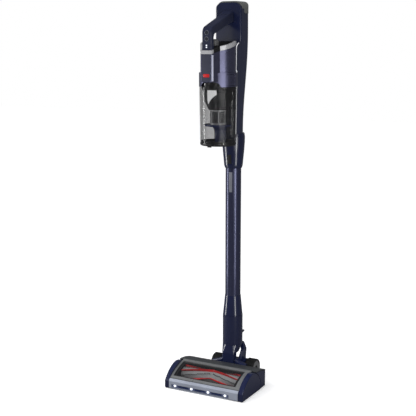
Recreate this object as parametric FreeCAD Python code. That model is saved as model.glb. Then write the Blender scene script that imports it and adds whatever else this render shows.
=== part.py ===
import FreeCAD, Part
import os
from math import cos, radians, sin

V = FreeCAD.Vector

# Cordless stick vacuum, standing upright. Millimetres, +Z up, the cleaning head's front faces -Y.
# The origin lies on the floor, in the middle of the outer box.

# ---- driving dimensions ----
WAND_Y = 72.0            # the wand's axis stands at X = 0, Y = WAND_Y
HEAD_HALF = 128.0        # half width of the cleaning head
HEAD_FRONT = -120.0
HEAD_REAR = 42.0
PLAN_R = 12.0            # rear corners of the head, seen from above
SIDE_IN = 113.0          # inner face of the end caps
BRUSH_Y, BRUSH_Z = -52.0, 28.6
BRUSH_CORE_R = 20.6
FIN_TIP_R = 26.6
FIN_TWIST = 52.0          # degrees a fin turns from its end to the middle
FIN_COUNT = 5
FIN_START = 87.0          # where the first fin stands at the middle of the brush, from straight back
CHAMBER_R = 28.4
DUCT_FRONT = -20.4        # where the air duct leaves the brush chamber
BRUSH_END = 101.0        # half length of the brush core
MOTOR_Y, MOTOR_Z = -3.2, 30.0
AXLE_Y, AXLE_Z = 92.0, 28.0
WHEEL_R = 28.0
WHEEL_X0, WHEEL_X1 = 43.0, 71.0
AXLE_R = 4.0
NECK_BOTTOM = 104.3
NECK_TOP = 195.0
NECK_R = 30.0
PLUG_R = 19.0            # spigots at both ends of the wand
BORE_R = 19.06           # sockets that the spigots run in
WAND_R = 23.0
WAND_LOW, WAND_HIGH = 200.0, 641.0
COLLAR_TOP = 744.5
TOWER_LOW, TOWER_HIGH = 744.6, 1115.5
TOWER_FRONT = 34.0
TOWER_SPLIT = 58.0
SKIN = 2.6
CUP_Y = -25.6            # axis of the dirt cup and of the motor housing
CUP_LOW, CUP_SEAM = 724.0, 882.6
CUP_R_LOW, CUP_R_HIGH = 51.2, 53.6
CUP_WALL = 2.2
SKIRT_TOP = 922.0
HOUSING_R = 50.0
RIM_FRONT, RIM_RISE = 973.4, 0.30  # the housing's sloping rim: height at the nose, climb per mm of depth
SKIRT_R = 54.2
NOSE_Y = -97.0
NOSE_HALF = 16.5
GAP = 0.4
BEARING_R = 7.0
SCREW_SITES = [(x, y) for x in (-60, 0, 60) for y in (-34, 34)]
WINDOW_X0, WINDOW_X1 = -106.0, 98.0
WINDOW_Y0, WINDOW_Y1 = -105.0, -41.0
ARCH_X0, ARCH_X1 = -106.0, 84.0  # raised middle of the front lip
LED_X = [-95.0, -40.0, 15.0, 70.0]
BELT_X0, BELT_X1 = 114.0, 120.0
BRUSH_PULLEY_R, PINION_R = 15.0, 6.0
PEDAL_Y, PEDAL_Z = 101.0, 147.0
COLLAR_STEPS = [(25.0, 641.6), (27.4, 650.0), (31.6, 694.0), (33.2, 718.0), (33.4, 734.0), (31.8, COLLAR_TOP)]
CAP_CUT_Y, CAP_CUT_Z = 53.5, 1086.0  # front lower corner of the battery's cap
FILTER_Y, FILTER_R = -52.0, 13.5
RIM_TOP = 1008.5         # flat cut across the back of the rim
HANDLE_HALF = 15.0
BUTTON_Z = (1031.3, 1014.4)

os.makedirs("parts", exist_ok=True)


# ---- helpers ----
def save(name, *solids):
    shape = solids[0] if len(solids) == 1 else Part.makeCompound(list(solids))
    shape.exportStep("parts/" + name + ".step")


def box(x0, x1, y0, y1, z0, z1):
    return Part.makeBox(x1 - x0, y1 - y0, z1 - z0, V(x0, y0, z0))


def rod_x(r, x0, x1, y, z):
    return Part.makeCylinder(r, x1 - x0, V(x0, y, z), V(1, 0, 0))


def rod_y(r, y0, y1, x, z):
    return Part.makeCylinder(r, y1 - y0, V(x, y0, z), V(0, 1, 0))


def rod_z(r, z0, z1, x, y):
    return Part.makeCylinder(r, z1 - z0, V(x, y, z0), V(0, 0, 1))


def tube_z(r_out, r_in, z0, z1, x, y):
    return rod_z(r_out, z0, z1, x, y).cut(rod_z(r_in, z0 - 1, z1 + 1, x, y))


def tube_x(r_out, r_in, x0, x1, y, z):
    return rod_x(r_out, x0, x1, y, z).cut(rod_x(r_in, x0 - 1, x1 + 1, y, z))


def cone_z(r0, r1, z0, z1, x, y):
    return Part.makeCone(r0, r1, z1 - z0, V(x, y, z0), V(0, 0, 1))


def join(first, *others):
    shape = first.multiFuse(list(others)) if others else first
    return shape.removeSplitter()


def outline(start, steps, place):
    """A closed wire: each step is an end point, or a middle and an end point for an arc."""
    edges = []
    here = place(*start)
    for step in list(steps) + [start]:
        if len(step) == 4:
            end = place(step[2], step[3])
            edges.append(Part.Arc(here, place(step[0], step[1]), end).toShape())
        else:
            end = place(*step)
            if (end - here).Length < 1e-6:
                continue
            edges.append(Part.LineSegment(here, end).toShape())
        here = end
    return Part.Face(Part.Wire(edges))


def slab_yz(start, steps, x0, x1):
    return outline(start, steps, lambda y, z: V(x0, y, z)).extrude(V(x1 - x0, 0, 0))


def slab_xz(start, steps, y0, y1):
    return outline(start, steps, lambda x, z: V(x, y0, z)).extrude(V(0, y1 - y0, 0))


def slab_xy(start, steps, z0, z1):
    return outline(start, steps, lambda x, y: V(x, y, z0)).extrude(V(0, 0, z1 - z0))


def round_rect(half_x, y0, y1, r, z, r_rear=None):
    """A rounded rectangle about X = 0 at height z; its rear corners may have their own radius."""
    x, q = half_x, r if r_rear is None else r_rear
    k, m = r * (1 - cos(radians(45))), q * (1 - cos(radians(45)))
    corners = [(x - r, y0, x - k, y0 + k, x, y0 + r), (x, y1 - q, x - m, y1 - m, x - q, y1),
               (q - x, y1, m - x, y1 - m, -x, y1 - q), (-x, y0 + r, k - x, y0 + k, r - x, y0)]
    edges = []
    for i, (ax, ay, mx, my, bx, by) in enumerate(corners):
        edges.append(Part.Arc(V(ax, ay, z), V(mx, my, z), V(bx, by, z)).toShape())
        nx, ny = corners[(i + 1) % 4][0], corners[(i + 1) % 4][1]
        edges.append(Part.LineSegment(V(bx, by, z), V(nx, ny, z)).toShape())
    return Part.Wire(edges)


def loft(wires, ruled=False):
    return Part.makeLoft(wires, True, ruled)


def edges_where(shape, test):
    return [e for e in shape.Edges if test(e)]


def along(edge, axis):
    ends = [v.Point for v in edge.Vertexes]
    if len(ends) != 2:
        return False
    run = ends[1] - ends[0]
    return run.Length > 1e-6 and abs(run.normalize().dot(axis)) > 0.999


def soften(shape, r, test):
    """Rounds the edges that pass the test."""
    return shape.makeFillet(r, edges_where(shape, test))


# ---- cleaning head ----
CAP_START = (-115.4, 0.8)
CAP_STEPS = [(-118.23, 1.97, -119.4, 4.8), (-119.4, 24.0), (-91.5, 51.5, -56.0, 66.0), (-24.0, 57.0, 3.0, 24.0),
             (4.0, 0.8)]


def skin_profile(drop, y0, y1):
    """The head's sloping top over the brush, lowered by drop, between two depths."""
    front, middle, back = (-113.0, 32.0), (-80.0, 50.3), (-34.0, 63.6)
    arc = Part.Arc(V(0, front[0], front[1] - drop), V(0, middle[0], middle[1] - drop),
                   V(0, back[0], back[1] - drop))
    centre, r = arc.toShape().Curve.Center, arc.toShape().Curve.Radius

    def height(y):
        return centre.z + (r * r - (y - centre.y) ** 2) ** 0.5

    mid = (y0 + y1) / 2
    return (y0, height(y0)), (mid, height(mid)), (y1, height(y1))


def skin_slab(top_drop, thickness, y0, y1, x0, x1):
    a, b, c = skin_profile(top_drop, y0, y1)
    d, e, f = skin_profile(top_drop + thickness, y0, y1)
    return slab_yz(a, [b + c, f, e + d], x0, x1)


def end_cap(side):
    outer = slab_yz(CAP_START, CAP_STEPS, SIDE_IN, HEAD_HALF)
    rim = edges_where(outer, lambda e: e.BoundBox.XMin > HEAD_HALF - 0.01)
    outer = outer.makeFillet(3.0, rim)
    inner = SIDE_IN - 1
    pocket = join(rod_x(21.5, inner, HEAD_HALF - 3, BRUSH_Y, BRUSH_Z),
                  rod_x(10.5, inner, HEAD_HALF - 3, MOTOR_Y - 1, MOTOR_Z),
                  slab_yz((BRUSH_Y, BRUSH_Z - 21), [(BRUSH_Y, BRUSH_Z + 21), (MOTOR_Y, MOTOR_Z + 10),
                                                    (MOTOR_Y, MOTOR_Z - 10)], inner, HEAD_HALF - 3))
    cap = outer.cut(pocket)
    return cap if side > 0 else cap.mirror(V(0, 0, 0), V(1, 0, 0))


def rear_flank(side):
    """Side wall of the chassis behind an end cap; its front edge follows the cap."""
    wall = slab_yz((-34.0, 60.0), [(5.0, 56.8, 33.6, 48.2), (39.0, 42.4), (HEAD_REAR, 9.0), (39.0, 3.4),
                                   (-34.0, 3.4)], 121.0, HEAD_HALF - 0.3)
    cap = outline(CAP_START, CAP_STEPS, lambda y, z: V(118.0, y, z)).makeOffset2D(0.4).extrude(V(11, 0, 0))
    wall = wall.cut(cap)
    wall = max(wall.Solids, key=lambda s: s.Volume)
    return wall if side > 0 else wall.mirror(V(0, 0, 0), V(1, 0, 0))


def plan_prism(half_x, y_rear):
    """Upright block whose rear corners are rounded in plan."""
    wire = round_rect(half_x, -160.0, y_rear, PLAN_R, -1.0)
    return Part.Face(wire).extrude(V(0, 0, 90))


def side_rect(y0, y1, z0, z1, r, x):
    """A rounded rectangle in a plane across X."""
    wire = round_rect((y1 - y0) / 2, z0, z1, r, 0)
    wire.rotate(V(0, 0, 0), V(1, 0, 0), 90)
    wire.rotate(V(0, 0, 0), V(0, 0, 1), 90)
    wire.translate(V(x, (y0 + y1) / 2, 0))
    return wire


def wheel_fender():
    """Flared shoulder in front of a wheel, beside the neck's front leg."""
    shoulder = loft([side_rect(43.6, 62.0, 36.0, 63.0, 7.0, 20.4), side_rect(43.6, 62.0, 36.0, 57.0, 7.0, 34.0),
                     side_rect(43.6, 61.0, 36.0, 50.0, 6.0, 56.0)])
    shoulder = shoulder.cut(rod_x(WHEEL_R + 0.6, WHEEL_X0 - 2, WHEEL_X1, AXLE_Y, AXLE_Z))
    shoulder = shoulder.cut(box(20.0, 53.0, 48.5, 59.0, 30, 43.5))
    return shoulder.fuse(box(22.0, 54.0, 40.0, 50.0, 36.2, 41.6))


def head_base():
    front = box(-SIDE_IN + GAP, SIDE_IN - GAP, -106, 8, 3.4, 33)
    low = BRUSH_Z - 2
    front = join(front, box(-SIDE_IN + GAP, -BRUSH_END - 3, BRUSH_Y - 10, BRUSH_Y + 10, low, BRUSH_Z + 10),
                 box(BRUSH_END + 3, SIDE_IN - GAP, BRUSH_Y - 10, BRUSH_Y + 10, low, BRUSH_Z + 10))
    front = front.cut(rod_x(CHAMBER_R, -BRUSH_END - 3, BRUSH_END + 3, BRUSH_Y, BRUSH_Z))
    front = front.cut(box(-BRUSH_END, BRUSH_END, -101, -40, 3, 20))
    front = front.cut(box(-BRUSH_END - 3, BRUSH_END + 3, -101, -24, 19, 34))
    front = front.cut(box(-SIDE_IN + 3, SIDE_IN - 3, -20.8, 9, 6, 34))
    front = front.cut(rod_x(BEARING_R + 0.02, -SIDE_IN - 1, SIDE_IN + 1, BRUSH_Y, BRUSH_Z))
    front = front.cut(box(-15, 15, BRUSH_Y, -20, 15, 33))
    front = front.cut(rod_x(8.0, SIDE_IN - 4, SIDE_IN + 1, MOTOR_Y, MOTOR_Z))
    rear = box(-HEAD_HALF + 2, HEAD_HALF - 2, 5, HEAD_REAR - 0.5, 3.4, 42)
    rear = rear.cut(box(-HEAD_HALF + 5, HEAD_HALF - 5, 7.6, HEAD_REAR - 3, 6, 43))
    rear = rear.cut(box(-SIDE_IN + 3, SIDE_IN - 3, 4, 9, 6, 43))
    rear = rear.cut(box(-SIDE_IN - 20, SIDE_IN + 20, 4, 9, 33, 43))
    flanks = [rear_flank(1), rear_flank(-1)]
    port = box(-18, 18, 36, 44, 12, 36)
    slots = [box(side * 37.3 - 3.2, side * 37.3 + 3.2, 36, 44, 14, 36) for side in (-1, 1)]
    shape = join(front, rear.common(plan_prism(HEAD_HALF - 2, HEAD_REAR - 0.5)), *flanks)
    fender = wheel_fender()
    shape = join(shape.common(plan_prism(HEAD_HALF, HEAD_REAR)), fender, fender.mirror(V(0, 0, 0), V(1, 0, 0)))
    for tool in [port] + slots + [screw_body(x, y, 0.05) for x, y in SCREW_SITES]:
        shape = shape.cut(tool)
    return shape


def screw_body(x, y, grown=0.0):
    """Flat-headed self-tapping screw, its head flush in the sole."""
    return join(rod_z(2.6 + grown, 1.4 - grown, 2.2 + grown, x, y), rod_z(1.3 + grown, 2.0, 5.5 + grown, x, y))


def screw(x, y):
    across = box(x - 1.8, x + 1.8, y - 0.35, y + 0.35, 1.3, 1.9)
    along = box(x - 0.35, x + 0.35, y - 1.8, y + 1.8, 1.3, 1.9)
    return screw_body(x, y).cut(join(across, along))


def rear_deck():
    shape = slab_yz((-28.0, 63.9), [(4.0, 60.2, 37.0, 51.6), (43.0, 45.4), (41.0, 43.6), (35.6, 49.2),
                                    (3.6, 57.8, -28.0, 61.3)], -HEAD_HALF + 0.3, HEAD_HALF - 0.3)
    shape = shape.cut(box(-60, 60, 36.5, 50, 30, 60)).common(plan_prism(HEAD_HALF, 43.2))
    ribs = [box(x - 0.8, x + 0.8, -20, 30, 53, 58.6) for x in (-90, -60, -30, 30, 60, 90)]
    inside = slab_yz((-27.0, 61.5), [(3.8, 58.2, 34.0, 49.8), (34.0, 40.0), (-27.0, 40.0)], -100, 100)
    return join(shape, *[rib.common(inside) for rib in ribs])


def window_frame():
    ring = skin_slab(-0.8, 3.6, -112.0, -29.0, -SIDE_IN + GAP, SIDE_IN - GAP)
    hole = box(WINDOW_X0 - 0.2, WINDOW_X1 + 0.2, WINDOW_Y0 - 0.2, WINDOW_Y1 + 0.2, 20, 80)
    return ring.cut(hole)


def brush_window():
    return skin_slab(0.2, 2.0, WINDOW_Y0, WINDOW_Y1, WINDOW_X0, WINDOW_X1)


def light_bar():
    bar = slab_yz((-106.5, 1.6), [(-118.0, 1.6), (HEAD_FRONT, 4.0), (HEAD_FRONT, 25.0), (-116.4, 30.0),
                                  (-113.2, 31.2), (-112.4, 28.4), (-106.5, 31.0)], -SIDE_IN + GAP, SIDE_IN - GAP)
    arch = box(ARCH_X0, ARCH_X1, HEAD_FRONT - 1, -111.5, 2, 15.5)
    return bar.cut(arch)


def led_strip():
    strip = box(ARCH_X0 + GAP, ARCH_X1 - GAP, -114.2, -111.8, 6.0, 15.0)
    domes = [rod_y(3.4, -116.0, -114.0, x, 10.8) for x in LED_X]
    return join(strip, *domes)


def sole_plate():
    plate = box(-SIDE_IN + GAP, SIDE_IN - GAP, -106, 40, 1.4, 3.2)
    plate = plate.cut(box(-BRUSH_END + 1, BRUSH_END - 1, -100, -41, 0, 4))
    pads = [box(x - 8, x + 8, y - 3, y + 3, 0, 1.6) for x in (-101, 101) for y in (-103, -24)]
    plate = join(plate, *pads)
    return plate.cut(Part.makeCompound([screw_body(x, y, 0.05) for x, y in SCREW_SITES]))


def brush_core():
    core = rod_x(BRUSH_CORE_R, -BRUSH_END + 2, BRUSH_END - 4, BRUSH_Y, BRUSH_Z)
    core = core.cut(rod_x(BRUSH_CORE_R - 3, -BRUSH_END + 5, BRUSH_END - 7, BRUSH_Y, BRUSH_Z))
    shaft = rod_x(3.0, -BRUSH_END - 5, SIDE_IN + 9, BRUSH_Y, BRUSH_Z)
    return join(core, shaft)


def fin(start, hand, x0, x1):
    """One helical fin on the core, lofted from radial blades along the axis."""
    sections, steps = [], 8
    for i in range(steps + 1):
        x = x0 + (x1 - x0) * i / steps
        a = radians(start + hand * FIN_TWIST * i / steps)
        out, flat = V(0, cos(a), sin(a)), V(0, -sin(a), cos(a))
        base = V(x, BRUSH_Y, BRUSH_Z)
        corners = [base + out * r + flat * w for r, w in ((BRUSH_CORE_R - 0.6, -1.5), (FIN_TIP_R, -0.9),
                                                          (FIN_TIP_R, 0.9), (BRUSH_CORE_R - 0.6, 1.5))]
        sections.append(Part.makePolygon(corners + corners[:1]))
    return loft(sections)


def brush_fins():
    pitch = 360.0 / FIN_COUNT
    fins = [fin(pitch * k + FIN_START + FIN_TWIST, -1, -BRUSH_END + 3, -0.5) for k in range(FIN_COUNT)]
    fins += [fin(pitch * k + FIN_START, 1, 0.5, BRUSH_END - 5) for k in range(FIN_COUNT)]
    core = rod_x(BRUSH_CORE_R + 0.05, -BRUSH_END, BRUSH_END, BRUSH_Y, BRUSH_Z)
    return [f.cut(core) for f in fins]


def toothed(r, teeth, x0, x1, y, z, bore, depth=1.0):
    wheel = rod_x(r, x0, x1, y, z)
    cuts = []
    for i in range(teeth):
        a = radians(360.0 * i / teeth)
        cuts.append(rod_x(depth * 0.55, x0 - 1, x1 + 1, y + r * cos(a), z + r * sin(a)))
    wheel = wheel.cut(Part.makeCompound(cuts))
    return wheel.cut(rod_x(bore, x0 - 1, x1 + 1, y, z)) if bore else wheel


def belt():
    """A flat loop round both pulleys, with its straight runs tangent to them."""
    dy, dz = MOTOR_Y - BRUSH_Y, MOTOR_Z - BRUSH_Z
    reach = (dy * dy + dz * dz) ** 0.5

    def loop(extra):
        big, small = BRUSH_PULLEY_R + extra, PINION_R + extra
        tilt = (big - small) / reach
        run = (1 - tilt * tilt) ** 0.5
        ux, uz = dy / reach, dz / reach
        ends = []
        for sign in (1, -1):
            ny, nz = ux * tilt - sign * uz * run, uz * tilt + sign * ux * run
            ends.append(((BRUSH_Y + ny * big, BRUSH_Z + nz * big), (MOTOR_Y + ny * small, MOTOR_Z + nz * small)))
        (a, b), (c, d) = ends
        far = (MOTOR_Y + ux * small, MOTOR_Z + uz * small)
        near = (BRUSH_Y - ux * big, BRUSH_Z - uz * big)
        return slab_yz(a, [b, far + d, c, near + a], BELT_X0, BELT_X1)

    return loop(1.5).cut(loop(0.3))


def brush_motor():
    can = rod_x(15.5, 30, 96, MOTOR_Y, MOTOR_Z)
    neck = rod_x(7.0, 95, 107, MOTOR_Y, MOTOR_Z)
    tail = rod_x(9.0, 24, 31, MOTOR_Y, MOTOR_Z)
    return join(can, neck, tail).cut(rod_x(2.1, 20, 108, MOTOR_Y, MOTOR_Z))


def motor_pinion():
    shaft = rod_x(2.0, 26, BELT_X1 + 0.5, MOTOR_Y, MOTOR_Z)
    return join(toothed(PINION_R, 12, BELT_X0, BELT_X1, MOTOR_Y, MOTOR_Z, 0), shaft)


def tilt_barrel():
    """Hollow cross tube that the air passes, with its elbow and two brackets into the chassis."""
    barrel = rod_x(22.0, -21, 21, AXLE_Y, AXLE_Z)
    elbow = join(box(-17.5, 17.5, DUCT_FRONT, 76, 12.5, 35.5), box(-40, 40, 20, 24, 14.5, 35.5))
    arms = [box(side * 37.3 - 2.7, side * 37.3 + 2.7, 20, AXLE_Y, 14.5, 35.5) for side in (-1, 1)]
    eyes = [rod_x(21.5, side * 37.3 - 2.7, side * 37.3 + 2.7, AXLE_Y, AXLE_Z) for side in (-1, 1)]
    shape = join(barrel, elbow, *(arms + eyes))
    shape = shape.cut(rod_x(19.5, -18.5, 18.5, AXLE_Y, AXLE_Z))
    shape = shape.cut(box(-15, 15, DUCT_FRONT - 2, 80, 15, 33))
    shape = shape.cut(box(-14, 14, 70, 88, 34, 53))
    shape = join(shape, rod_x(7.0, -21, 21, AXLE_Y, AXLE_Z))
    return shape.cut(rod_x(AXLE_R + 0.02, -60, 60, AXLE_Y, AXLE_Z))


def wheel(side):
    body = rod_x(WHEEL_R, WHEEL_X0, WHEEL_X1, AXLE_Y, AXLE_Z)
    body = body.makeFillet(2.0, edges_where(body, lambda e: isinstance(e.Curve, Part.Circle)))
    grooves = []
    for k in range(7):
        x = WHEEL_X0 + 3.5 + 3.0 * k
        grooves.append(tube_x(WHEEL_R + 1, WHEEL_R - 0.8, x, x + 1.2, AXLE_Y, AXLE_Z))
    body = body.cut(Part.makeCompound(grooves)).cut(tube_x(23, 8, WHEEL_X1 - 2, WHEEL_X1 + 1, AXLE_Y, AXLE_Z))
    body = body.cut(rod_x(AXLE_R + 0.06, WHEEL_X0 - 1, WHEEL_X1 - 3, AXLE_Y, AXLE_Z))
    return body if side > 0 else body.mirror(V(0, 0, 0), V(1, 0, 0))


def head():
    save("head_base", head_base())
    save("end_cap_left", end_cap(-1))
    save("end_cap_right", end_cap(1))
    save("rear_deck", rear_deck())
    save("window_frame", window_frame())
    save("brush_window", brush_window())
    save("light_bar", light_bar())
    save("led_strip", led_strip())
    save("sole_plate", sole_plate())
    save("brush_core", brush_core())
    save("brush_fins", *brush_fins())
    save("brush_pulley", toothed(BRUSH_PULLEY_R, 30, BELT_X0, BELT_X1, BRUSH_Y, BRUSH_Z, 3.0))
    save("brush_bearings", tube_x(BEARING_R, 3.06, -BRUSH_END - 7, -BRUSH_END - 3.2, BRUSH_Y, BRUSH_Z),
         tube_x(BEARING_R, 3.06, BRUSH_END + 3.2, BRUSH_END + 7, BRUSH_Y, BRUSH_Z))
    save("drive_belt", belt())
    save("brush_motor", brush_motor())
    save("motor_pinion", motor_pinion())
    save("tilt_barrel", tilt_barrel())
    save("axle_rod", rod_x(AXLE_R, -67.5, 67.5, AXLE_Y, AXLE_Z))
    save("wheel_left", wheel(-1))
    save("wheel_right", wheel(1))
    save("head_screws", *[screw(x, y) for x, y in SCREW_SITES])


# ---- joint between head and wand ----
def yoke_frame():
    top = loft([round_rect(20.0, 38.5, 76.0, 5.0, 79.0), round_rect(29.8, 42.2, 101.8, 29.0, 103.9)], True)
    block = loft([round_rect(19.0, 38.9, 62.0, 4.0, 45.0), round_rect(19.4, 38.9, 64.0, 4.6, 83.0)], True)
    saddle = tube_x(24.8, 22.4, -39.6, 39.6, AXLE_Y, AXLE_Z)
    saddle = saddle.common(box(-40, 40, 60, 130, 39.4, 60))
    foot = box(-19, 19, 56, 74, 41, 55).cut(rod_x(22.4, -25, 25, AXLE_Y, AXLE_Z))
    side_view = slab_yz((62.0, 56.0), [(88.0, 92.0), (92.0, 103.9), (101.5, 103.9), (101.5, 92.0), (98.0, 60.0),
                                       (98.0, AXLE_Z), (80.0, AXLE_Z), (72.0, 44.0)], -40, 40)
    arms = []
    for side in (-1, 1):
        arm = slab_xz((side * 14, 98.0), [(side * 23.2, 84.0), (side * 23.2, AXLE_Z), (side * 32.0, AXLE_Z),
                                          (side * 33.0, 60.0), (side * 33.5, 84.0), (side * 24, 103.9),
                                          (side * 14, 103.9)], 50.0, 110.0)
        arms += [arm.common(side_view),
                 rod_x(21.0, min(side * 23.2, side * 32), max(side * 23.2, side * 32), AXLE_Y, AXLE_Z)]
    shape = join(top, block, saddle, foot, *arms)
    shape = shape.cut(rod_z(15.0, 88, 110, 0, WAND_Y)).cut(rod_z(22.1, 97.8, 110, 0, WAND_Y))
    shape = shape.cut(box(-15, 15, 43, 59, 50, 90)).cut(box(-14, 14, 58, 76, 84, 90))
    return shape.cut(rod_x(AXLE_R + 0.06, -40, 40, AXLE_Y, AXLE_Z))


def swivel_journal():
    flange = tube_z(22.0, 16.0, 98.0, 103.8, 0, WAND_Y)
    sleeve = tube_z(20.0, 16.0, 103.0, 116.0, 0, WAND_Y)
    return join(flange, sleeve)


def neck_socket():
    tube = rod_z(NECK_R, NECK_BOTTOM, NECK_TOP, 0, WAND_Y)
    bulge = loft([round_rect(14.0, 70.0, 101.0, 8.0, 126.0), round_rect(15.5, 70.0, 109.0, 9.0, 152.0),
                  round_rect(15.5, 70.0, 107.0, 9.0, 172.0), round_rect(13.0, 70.0, 100.5, 8.0, 194.0)], True)
    shape = join(tube, bulge)
    shape = shape.cut(rod_z(BORE_R, 121.0, 200, 0, WAND_Y)).cut(rod_z(16.0, 100, 125, 0, WAND_Y))
    shape = shape.cut(rod_z(20.06, 100, 116.6, 0, WAND_Y))
    shape = shape.cut(box(-9.6, 9.6, 95.0, 115.0, 124.0, 154.0))
    shape = shape.cut(box(-14.6, 14.6, 97.0, 115.0, 123.0, 140.5))
    return shape.cut(rod_x(1.5, -14, 14, PEDAL_Y, PEDAL_Z))


def release_pedal():
    ears = [box(x - 2.4, x + 2.4, 99.0, 104.0, 132.0, PEDAL_Z + 3) for x in (-6.6, 6.6)]
    fin_plate = slab_yz((102.2, 139.0), [(120.0, 134.5), (120.0, 132.0), (102.2, 129.0)], -18, 18)
    fin_plate = fin_plate.makeFillet(4.0, edges_where(fin_plate, lambda e: along(e, V(0, 0, 1)) and
                                                      e.BoundBox.YMin > 119))
    web = box(-9, 9, 99.6, 103.4, 129.0, 139.0)
    return join(fin_plate, web, *ears).cut(rod_x(1.56, -12, 12, PEDAL_Y, PEDAL_Z))


def pedal_spring():
    return [Part.makeTorus(2.6, 0.5, V(-3.0 + 1.5 * k, PEDAL_Y, PEDAL_Z), V(1, 0, 0)) for k in range(5)]


def wand_tube():
    main = tube_z(WAND_R, WAND_R - 1.5, WAND_LOW, WAND_HIGH, 0, WAND_Y)
    rings = [tube_z(WAND_R - 1, PLUG_R - 2, z, z + 4, 0, WAND_Y) for z in (WAND_LOW, WAND_HIGH - 4)]
    low = tube_z(PLUG_R, PLUG_R - 2, 122.0, WAND_LOW + 1, 0, WAND_Y)
    high = tube_z(PLUG_R, PLUG_R - 2, WAND_HIGH - 1, 735.0, 0, WAND_Y)
    return join(main, low, high, *rings)


def wand_collar():
    cone = cone_z(29.6, 26.6, 195.4, 226.0, 0, WAND_Y)
    upper = cone_z(26.6, WAND_R + 0.7, 226.0, 256.0, 0, WAND_Y)
    shape = join(cone, upper)
    shape = shape.cut(rod_z(WAND_R + 0.02, 199.9, 260, 0, WAND_Y))
    return shape.cut(rod_z(PLUG_R + 0.02, 190, 201, 0, WAND_Y))


def neck_and_wand():
    save("yoke_frame", yoke_frame())
    save("swivel_journal", swivel_journal())
    save("neck_socket", neck_socket())
    save("release_pedal", release_pedal())
    save("pedal_pin", rod_x(1.5, -13.6, 13.6, PEDAL_Y, PEDAL_Z))
    save("pedal_spring", *pedal_spring())
    save("wand_tube", wand_tube())
    save("wand_collar", wand_collar())


# ---- hand unit ----
TOWER_PLAN = [(31.0, 35.0, 94.0, 12.0, 30.0, TOWER_LOW), (31.2, 34.5, 93.5, 11.0, 29.0, 780.0),
              (37.0, TOWER_FRONT, 92.0, 7.0, 22.0, 900.0), (40.5, TOWER_FRONT, 92.0, 5.0, 17.0, 985.0),
              (41.0, TOWER_FRONT, 92.0, 5.0, 16.0, 1050.0), (41.0, TOWER_FRONT, 92.0, 5.0, 16.0, 1120.0)]
CRADLE_PLAN = [(34.5, TOWER_LOW), (37.5, 883.0), (41.0, 965.0), (41.4, 1008.0)]


def tower_sections(inset):
    """The tower's plan at its heights: half width, front, rear, front and rear corner radius."""
    i = inset
    return [round_rect(x - i, front + i, rear - i, r - i, z, r_rear - i)
            for x, front, rear, r, r_rear, z in TOWER_PLAN]


def tower_crown(inset, top):
    """Front outline that rounds the tower's top corners."""
    x, r = 41.1 - inset, 22.0 - inset
    k = r * (1 - cos(radians(45)))
    return slab_xz((-x, 740.0), [(-x, top - r), (k - x, top - k, r - x, top), (x - r, top),
                                 (x - k, top - k, x, top - r), (x, 740.0)], 0, 130)


def battery_corner(grown):
    """Block that cuts the battery's cap out of the tower's top rear corner."""
    corner = box(-60, 60, CAP_CUT_Y - grown, 130, CAP_CUT_Z - grown, 1130)
    return corner.makeFillet(8.0, edges_where(corner, lambda e: along(e, V(1, 0, 0)) and
                                              e.BoundBox.YMax < CAP_CUT_Y + 1 and e.BoundBox.ZMax < CAP_CUT_Z + 1))


def cradle():
    """Cheeks on the tower's front that embrace the cup and the motor housing."""
    block = loft([round_rect(x, 2.0, 37.0, 5.0, z, 2.0) for x, z in CRADLE_PLAN], True)
    shoulder = slab_yz((0.0, 740.0), [(0.0, 990.0), (6.0, 1002.6, 20.0, 1008.0), (37.0, 1008.0), (37.0, 740.0)],
                       -60, 60)
    hollow = loft([round_rect(x - SKIN, 4.0, TOWER_FRONT - 0.5, 2.0, z) for x, z in CRADLE_PLAN], True)
    hollow = hollow.common(box(-60, 60, 0, 60, 748.0, 984.0)).cut(box(-22, 22, 0, 60, 740, 1010))
    hollow = hollow.cut(rod_z(SKIRT_R + GAP + SKIN, 700, 1010, 0, CUP_Y))
    block = block.common(shoulder).cut(hollow)
    block = block.cut(rod_z(SKIRT_R + GAP, 700, SKIRT_TOP + 0.4, 0, CUP_Y))
    return block.cut(rod_z(HOUSING_R + GAP, 900, 1020, 0, CUP_Y))


def inlet_path(r):
    """Duct axis: up the tower, round a bend and forward into the cup."""
    bend, turn_z = 26.0, 846.0
    straight = rod_z(r, 746.0, turn_z, 0, WAND_Y)
    ring = Part.Face(Part.Wire(Part.makeCircle(r, V(0, WAND_Y, turn_z))))
    turn = ring.revolve(V(0, WAND_Y - bend, turn_z), V(1, 0, 0), 90)
    forward = rod_y(r, 29.2, WAND_Y - bend, 0, turn_z + bend)
    return straight.fuse(turn).fuse(forward)


def tower_shell():
    outer = loft(tower_sections(0)).common(tower_crown(0, TOWER_HIGH))
    inner = loft(tower_sections(SKIN)).common(tower_crown(SKIN, TOWER_HIGH - SKIN))
    inner = inner.cut(box(-60, 60, 0, 130, 700, TOWER_LOW + SKIN))
    shape = join(outer, cradle()).cut(inner)
    shape = shape.cut(battery_corner(0.4)).cut(rod_z(17.6, 700, 760, 0, WAND_Y))
    return shape.cut(rod_y(17.6, 20, 50, 0, 872.0))


def tower():
    shell = tower_shell()
    front = shell.common(box(-80, 80, -50, TOWER_SPLIT - 0.1, 700, 1200))
    rear = shell.common(box(-80, 80, TOWER_SPLIT + 0.1, 200, 700, 1200))
    front = front.cut(box(-12.6, 12.6, 20, 50, 1062, 1090)).cut(box(-17, 17, 30, 50, 1064, 1080))
    rear = rear.cut(rod_y(4.0, 80, 100, 0, 905.0)).cut(box(-12.4, 12.4, 80, 100, 1054, 1072))
    return front, rear


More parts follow.
